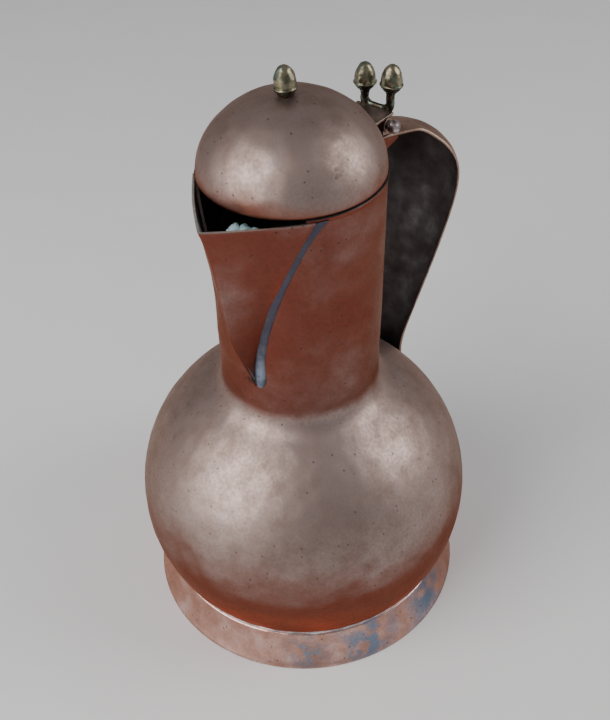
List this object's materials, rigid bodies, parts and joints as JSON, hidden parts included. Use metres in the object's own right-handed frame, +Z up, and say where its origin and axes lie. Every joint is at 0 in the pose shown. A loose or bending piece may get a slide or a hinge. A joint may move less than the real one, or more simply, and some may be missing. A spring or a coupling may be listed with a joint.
{
  "type": "lidded copper jug",
  "caption": "Round-bodied copper jug with a soldered V spout, a strap handle and a hinged domed lid with an acorn finial and a two-acorn thumbpiece.",
  "frame": {"origin": "on the jug's vertical axis, in the plane its foot ring stands on", "axes": "+Z up the axis, -Y towards the spout, +Y towards the handle, X along the lid's hinge pin"},
  "size_m": [0.16, 0.1836, 0.2755],
  "materials": {
    "copper": "satin",
    "brass": "satin",
    "solder": "satin",
    "pin": "satin"
  },
  "bodies": {
    "jug": {"body_shell": "copper", "foot_ring": "copper", "foot_solder_seam": "solder", "spout": "copper", "spout_solder_seam": "solder", "handle_strap": "copper", "handle_root_bracket": "copper", "handle_foot_solder": "solder", "hinge_knuckle_left": "copper", "hinge_knuckle_right": "copper", "hinge_pin": "pin", "hinge_pin_ball": "pin"},
    "lid": {"lid_dome": "copper", "lid_hinge_leaf": "copper", "thumb_fork": "brass", "thumb_acorn_left": "brass", "thumb_acorn_right": "brass", "finial_acorn": "brass", "finial_washer": "brass"}
  },
  "joints": [
    {"name": "lid_hinge", "type": "hinge", "parent": "jug", "child": "lid", "pos_m": [0, 0.0533, 0.2308], "axis": [-1, 0, 0], "range_deg": [0, 68]}
  ]
}
